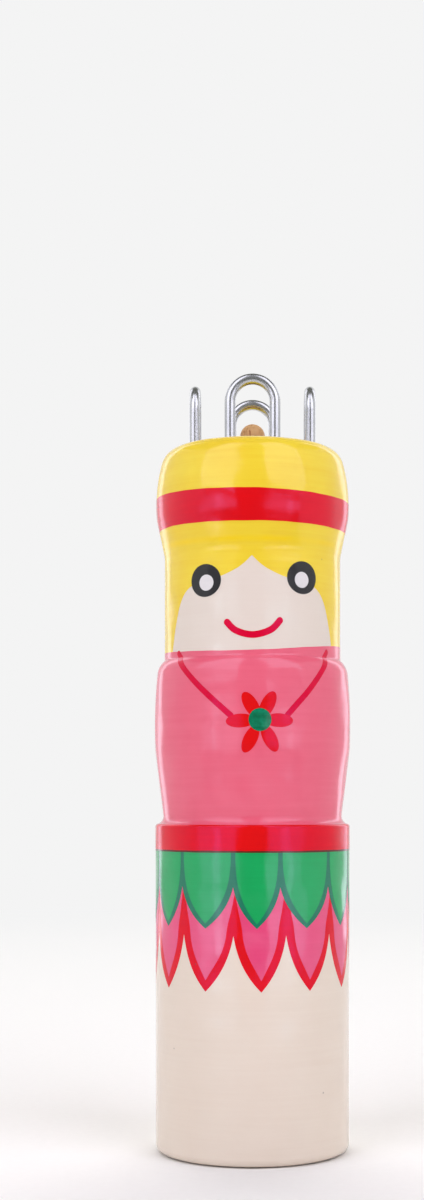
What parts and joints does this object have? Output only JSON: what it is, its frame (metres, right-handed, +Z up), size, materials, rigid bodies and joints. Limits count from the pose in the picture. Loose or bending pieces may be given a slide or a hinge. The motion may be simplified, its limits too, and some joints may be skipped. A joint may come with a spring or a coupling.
{
  "type": "knitting nancy",
  "caption": "Turned and painted wooden knitting doll with a bore down its length, wire hooks in the top of its head and a loose wooden needle kept in the bore.",
  "frame": {"origin": "centre of the base, on the surface that the doll stands on", "axes": "+Z up along the bore, -Y the way the face looks, +X to the right as the face is seen"},
  "size_m": [0.028, 0.028, 0.109],
  "materials": {
    "painted_wood": "painted and lacquered",
    "hook_wire": "bright drawn wire",
    "needle_wood": "sanded and waxed"
  },
  "bodies": {
    "doll": {"turned_body": "painted_wood", "hook_front": "hook_wire", "hook_right": "hook_wire", "hook_back": "hook_wire", "hook_left": "hook_wire"},
    "needle": {"needle": "needle_wood"}
  },
  "joints": [
    {"name": "needle_lift", "type": "slide", "parent": "doll", "child": "needle", "axis": [0, 0, 1], "range_m": [0, 0.112]}
  ]
}
